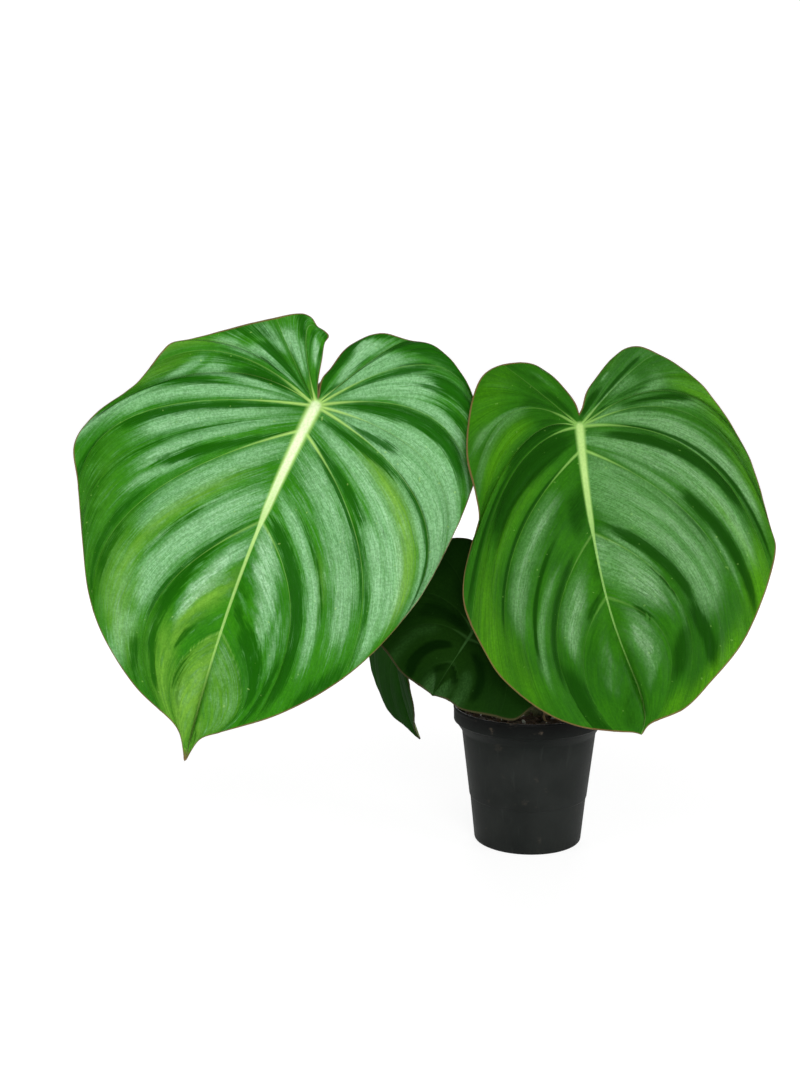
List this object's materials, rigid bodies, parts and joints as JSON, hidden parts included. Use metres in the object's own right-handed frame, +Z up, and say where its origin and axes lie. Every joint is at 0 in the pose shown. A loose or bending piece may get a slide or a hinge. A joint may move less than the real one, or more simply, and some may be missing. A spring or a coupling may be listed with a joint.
{
  "type": "potted aroid house plant",
  "caption": "Potted climbing aroid with large heart-shaped, deeply ribbed glossy leaves on arching petioles, in a round tapered nursery pot.",
  "frame": {"origin": "centre of the pot's flat bottom, on the surface that it stands on", "axes": "+Z up along the pot's axis; -Y towards the side that the upper faces of the large leaves look to; +X to the right as seen from there"},
  "size_m": [0.454, 0.2058, 0.368],
  "materials": {
    "leaf": "satin",
    "petiole": "satin",
    "stem": "matte",
    "potting_mix": "matte",
    "pot": "satin"
  },
  "bodies": {
    "root": {"pot": "pot", "potting_mix": "potting_mix", "stem": "stem", "leaf_1": "leaf", "petiole_1": "petiole", "leaf_2": "leaf", "petiole_2": "petiole", "leaf_3": "leaf", "petiole_3": "petiole", "leaf_4": "leaf", "petiole_4": "petiole"}
  },
  "joints": []
}
